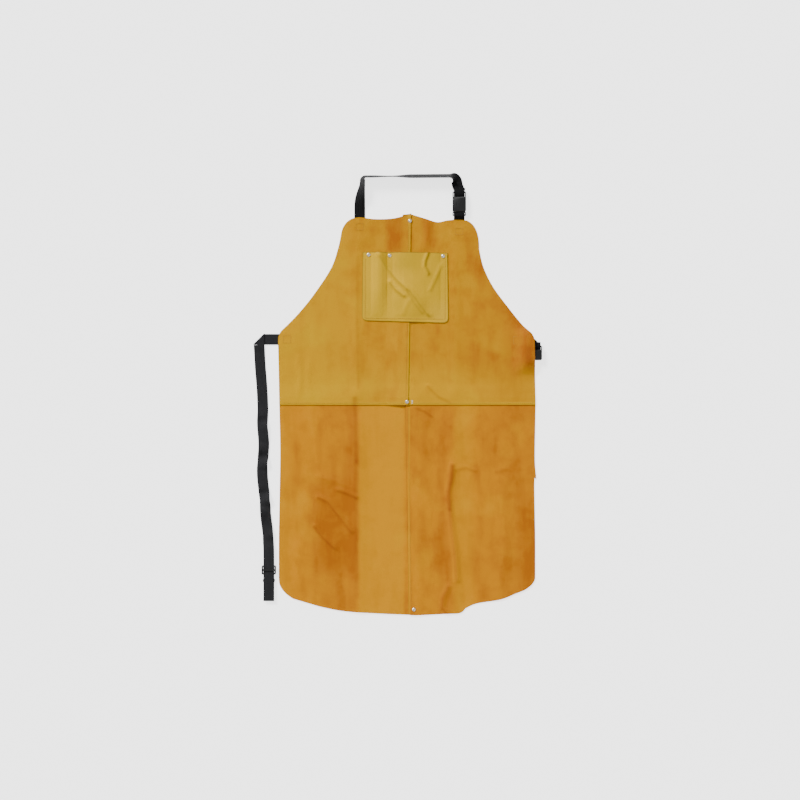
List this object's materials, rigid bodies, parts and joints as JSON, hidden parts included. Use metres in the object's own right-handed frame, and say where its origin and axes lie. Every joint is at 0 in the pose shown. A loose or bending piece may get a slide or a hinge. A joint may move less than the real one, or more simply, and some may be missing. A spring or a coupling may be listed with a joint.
{
  "type": "welding apron",
  "caption": "Split leather bib apron with seamed panels, riveted chest pocket, buckled webbing neck loop and a webbing waist strap with a side-release buckle.",
  "frame": {"origin": "on the floor under the middle of the waist seam, on the back of the apron", "axes": "+Y along the apron towards the neck, +X towards the right of someone looking at its front, +Z out of its front, up from the floor that it lies on"},
  "size_m": [0.663, 1.0161, 0.025],
  "materials": {
    "split_leather": "napped split cowhide, golden tan with brown blotches",
    "pocket_leather": "paler, smoother split leather",
    "rivet_metal": "nickel plated",
    "thread": "heavy waxed sewing thread",
    "black_webbing": "woven synthetic webbing",
    "charcoal_webbing": "woven synthetic webbing, faded",
    "black_plastic": "moulded acetal, satin"
  },
  "bodies": {
    "bib": {"bib_left_panel": "split_leather", "bib_right_panel": "split_leather", "skirt_left_top_strip": "split_leather", "skirt_right_top_strip": "split_leather", "chest_pocket": "pocket_leather", "rivet_cap_top_seam": "rivet_metal", "rivet_cap_waist_seam": "rivet_metal", "rivet_cap_pocket_left": "rivet_metal", "rivet_cap_pocket_pen": "rivet_metal", "rivet_cap_pocket_right": "rivet_metal", "rivet_back_top_seam": "rivet_metal", "rivet_back_waist_seam": "rivet_metal", "rivet_back_pocket_left": "rivet_metal", "rivet_back_pocket_pen": "rivet_metal", "rivet_back_pocket_right": "rivet_metal", "bib_seam_thread_lower": "thread", "bib_seam_thread_upper": "thread", "waist_seam_thread_left": "thread", "waist_seam_thread_right": "thread", "pocket_seam_thread": "thread", "neck_left_box_stitch": "thread", "neck_right_box_stitch": "thread", "waist_left_box_stitch": "thread", "waist_right_box_stitch": "thread", "neck_strap_sewn_end": "black_webbing", "neck_tab_sewn_end": "black_webbing", "waist_strap_sewn_end": "charcoal_webbing", "waist_tab_sewn_end": "black_webbing"},
    "skirt": {"skirt_left_panel": "split_leather", "skirt_right_panel": "split_leather", "skirt_seam_thread": "thread", "rivet_cap_hem": "rivet_metal", "rivet_back_hem": "rivet_metal"},
    "neck_loop": {"neck_strap": "black_webbing", "neck_tab": "black_webbing", "neck_buckle_female": "black_plastic"},
    "neck_male_half": {"neck_buckle_male": "black_plastic"},
    "neck_left_arm": {"neck_buckle_arm_left": "black_plastic"},
    "neck_right_arm": {"neck_buckle_arm_right": "black_plastic"},
    "waist_stub": {"waist_strap_stub": "charcoal_webbing"},
    "waist_run": {"waist_strap": "charcoal_webbing"},
    "waist_male_half": {"waist_buckle_male": "black_plastic"},
    "waist_left_arm": {"waist_buckle_arm_left": "black_plastic"},
    "waist_right_arm": {"waist_buckle_arm_right": "black_plastic"},
    "waist_tab_and_socket": {"waist_tab": "black_webbing", "waist_buckle_female": "black_plastic"}
  },
  "joints": [
    {"name": "skirt_fold", "type": "hinge", "parent": "bib", "child": "skirt", "pos_m": [0, -0.002, 0.0054], "axis": [-1, 0, 0], "range_deg": [0, 150]},
    {"name": "neck_loop_fold", "type": "hinge", "parent": "bib", "child": "neck_loop", "pos_m": [0, 0.4355, 0.0008], "axis": [-1, 0, 0], "range_deg": [-60, 120]},
    {"name": "neck_buckle_pull", "type": "slide", "parent": "neck_loop", "child": "neck_male_half", "axis": [0, -1, 0], "range_m": [0, 0.024], "deforming": ["neck_tab", "neck_buckle_arm_left", "neck_buckle_arm_right"]},
    {"name": "neck_left_arm_press", "type": "hinge", "parent": "neck_male_half", "child": "neck_left_arm", "pos_m": [0.1085, 0.4453, 0.0065], "axis": [0, 0, -1], "range_deg": [0, 10], "stiffness_Nm_per_rad": 0.05},
    {"name": "neck_right_arm_press", "type": "hinge", "parent": "neck_male_half", "child": "neck_right_arm", "pos_m": [0.1295, 0.4453, 0.0065], "axis": [0, 0, 1], "range_deg": [0, 10], "stiffness_Nm_per_rad": 0.05},
    {"name": "waist_strap_swing", "type": "hinge", "parent": "bib", "child": "waist_stub", "pos_m": [-0.3015, 0.151, 0.0008], "axis": [0, 1, 0], "range_deg": [-110, 60]},
    {"name": "waist_strap_unfold", "type": "hinge", "parent": "waist_stub", "child": "waist_run", "pos_m": [-0.3415, 0.151, 0.00175], "axis": [-0.7071, -0.7071, 0], "range_deg": [0, 170]},
    {"name": "waist_buckle_slide", "type": "slide", "parent": "waist_run", "child": "waist_male_half", "axis": [0, -1, 0], "range_m": [-0.03, 0.05]},
    {"name": "waist_left_arm_press", "type": "hinge", "parent": "waist_male_half", "child": "waist_left_arm", "pos_m": [-0.3295, -0.3913, 0.0022], "axis": [0, 0, 1], "range_deg": [0, 10], "stiffness_Nm_per_rad": 0.05},
    {"name": "waist_right_arm_press", "type": "hinge", "parent": "waist_male_half", "child": "waist_right_arm", "pos_m": [-0.3085, -0.3913, 0.0022], "axis": [0, 0, -1], "range_deg": [0, 10], "stiffness_Nm_per_rad": 0.05},
    {"name": "waist_tab_swing", "type": "hinge", "parent": "bib", "child": "waist_tab_and_socket", "pos_m": [0.277, 0.149, 0.0008], "axis": [0, 1, 0], "range_deg": [0, 110]}
  ],
  "couplings": [
    {"joint": "neck_right_arm_press", "follows": "neck_left_arm_press", "ratio": 1},
    {"joint": "waist_right_arm_press", "follows": "waist_left_arm_press", "ratio": 1}
  ]
}
